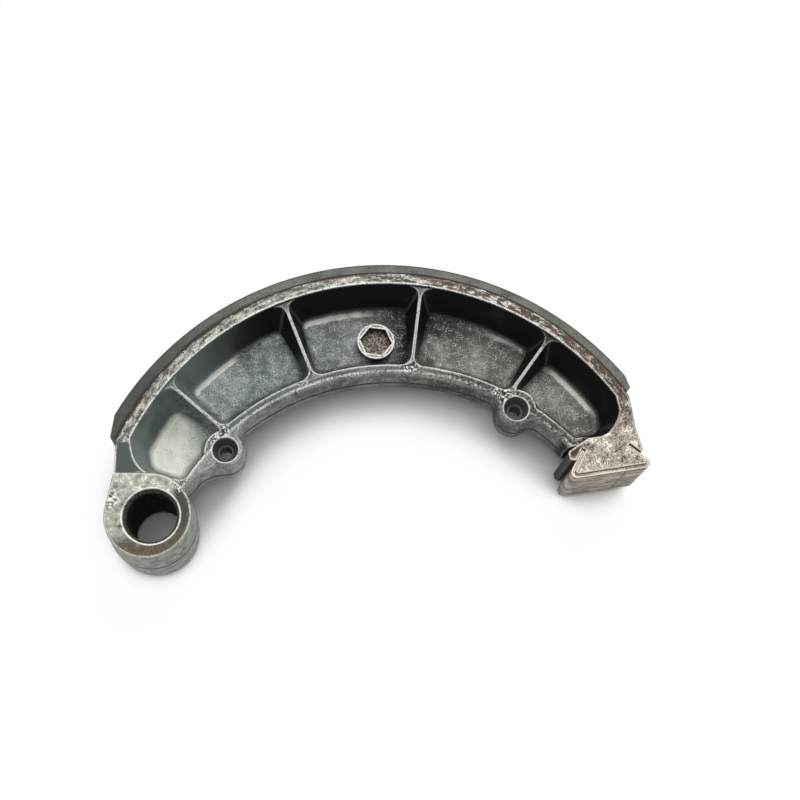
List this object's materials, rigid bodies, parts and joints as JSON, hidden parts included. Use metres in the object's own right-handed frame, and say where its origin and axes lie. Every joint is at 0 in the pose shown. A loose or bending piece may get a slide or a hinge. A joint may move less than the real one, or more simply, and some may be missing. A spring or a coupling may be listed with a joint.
{
  "type": "brake shoe",
  "caption": "Curved drum brake shoe with a ribbed cast frame, a bonded friction lining, a closed pivot eye at one end and a folded steel cam cap at the other.",
  "frame": {"origin": "on the axis of the pivot bore, half-way across the shoe's width", "axes": "+Z along the pivot bore, +X along the flat cam face from the pivot end to the cam end, +Y from the cam face towards the lining; the shoe rests on its side, on the rim, at Z -12 mm"},
  "size_m": [0.135, 0.068, 0.024],
  "materials": {
    "casting": "as die-cast, dull and stained, with machined faces on rim and eye",
    "lining": "moulded friction composite, ground, matt",
    "cap": "folded sheet steel with a brown film of rust"
  },
  "bodies": {
    "root": {"shoe_casting": "casting", "friction_lining": "lining", "cam_end_cap": "cap"}
  },
  "joints": []
}
